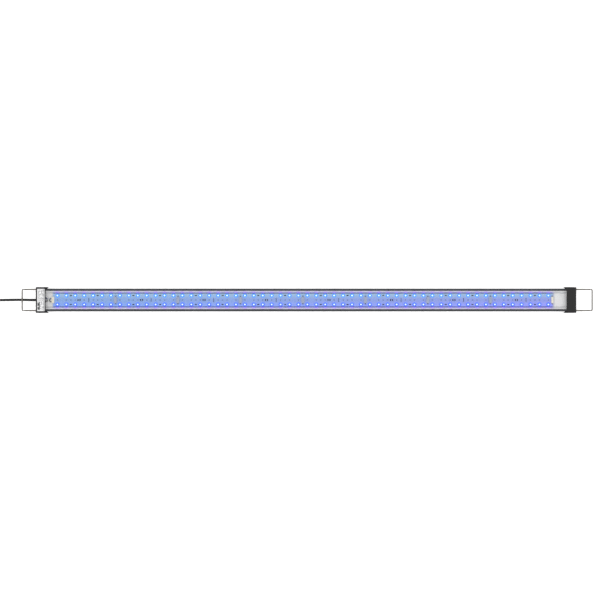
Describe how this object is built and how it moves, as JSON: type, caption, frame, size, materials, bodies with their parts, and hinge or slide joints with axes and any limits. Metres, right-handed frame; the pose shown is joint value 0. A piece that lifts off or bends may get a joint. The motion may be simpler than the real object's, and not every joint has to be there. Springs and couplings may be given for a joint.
{
  "type": "led aquarium light bar",
  "caption": "Slim LED light bar for an aquarium: black profile with a clear cover, plastic end caps, sliding wire brackets and a supply cord; shown turned over, LEDs up.",
  "frame": {"origin": "on the surface under the end caps, below the middle of the bar: the bar lies on its back", "axes": "+X along the bar, away from the supply cord; +Z the way the LEDs shine. In use the part is turned over about X, so that +Z points down into the water"},
  "size_m": [1.3877, 0.0987, 0.0272],
  "materials": {
    "black_anodised_aluminium": "satin",
    "black_moulded_plastic": "matte",
    "white_coated_sheet": "satin",
    "clear_acrylic": "clear",
    "soft_silicone": "matte",
    "black_rubber": "matte",
    "steel_screw": "brushed",
    "stainless_wire": "drawn",
    "natural_nylon": "matte",
    "silver_label_film": "glossy",
    "white_circuit_board": "satin",
    "led_package": "glossy",
    "black_component": "matte",
    "cream_connector": "satin",
    "blue_lead": "satin",
    "brown_lead": "satin",
    "white_nylon_tie": "satin",
    "thermal_tape": "matte",
    "black_cord_sheath": "satin",
    "black_plug_plastic": "matte",
    "nickel_plated_brass": "polished",
    "black_hook_and_loop": "woven"
  },
  "bodies": {
    "lamp": {"housing_profile": "black_anodised_aluminium", "reflector_tray": "white_coated_sheet", "clear_cover": "clear_acrylic", "cover_seals": "soft_silicone", "end_gasket_left": "black_rubber", "end_gasket_right": "black_rubber", "end_cap_left": "black_moulded_plastic", "end_cap_right": "black_moulded_plastic", "cap_screws_left": "steel_screw", "cap_screws_right": "steel_screw", "guide_bushes_left": "natural_nylon", "guide_bushes_right": "natural_nylon", "thermal_tapes": "thermal_tape", "board_link_connectors": "cream_connector", "end_connector": "cream_connector", "input_header": "cream_connector", "input_plug": "cream_connector", "lead_blue": "blue_lead", "lead_brown": "brown_lead", "lead_tie": "white_nylon_tie", "cord_grommet": "black_rubber", "cord_collar": "nickel_plated_brass", "cord": "black_cord_sheath", "cord_tail": "black_cord_sheath", "cord_coil": "black_cord_sheath", "coil_tie": "black_hook_and_loop", "plug_relief": "black_plug_plastic", "plug_body": "black_plug_plastic", "plug_barrel": "nickel_plated_brass", "plug_insulator": "black_plug_plastic", "rating_label": "silver_label_film", "led_board_1": "white_circuit_board", "led_chips_1": "led_package", "board_components_1": "black_component", "led_board_2": "white_circuit_board", "led_chips_2": "led_package", "board_components_2": "black_component", "led_board_3": "white_circuit_board", "led_chips_3": "led_package", "board_components_3": "black_component", "led_board_4": "white_circuit_board", "led_chips_4": "led_package", "board_components_4": "black_component", "led_board_5": "white_circuit_board", "led_chips_5": "led_package", "board_components_5": "black_component", "led_board_6": "white_circuit_board", "led_chips_6": "led_package", "board_components_6": "black_component", "led_board_7": "white_circuit_board", "led_chips_7": "led_package", "board_components_7": "black_component", "led_board_8": "white_circuit_board", "led_chips_8": "led_package", "board_components_8": "black_component"},
    "left_bracket": {"bracket_left": "stainless_wire", "slide_shoes_left": "natural_nylon"},
    "right_bracket": {"bracket_right": "stainless_wire", "slide_shoes_right": "natural_nylon"}
  },
  "joints": [
    {"name": "bracket_left_slide", "type": "slide", "parent": "lamp", "child": "left_bracket", "axis": [-1, 0, 0], "range_m": [-0.022, 0.076]},
    {"name": "bracket_right_slide", "type": "slide", "parent": "lamp", "child": "right_bracket", "axis": [1, 0, 0], "range_m": [-0.0265, 0.0715]}
  ]
}
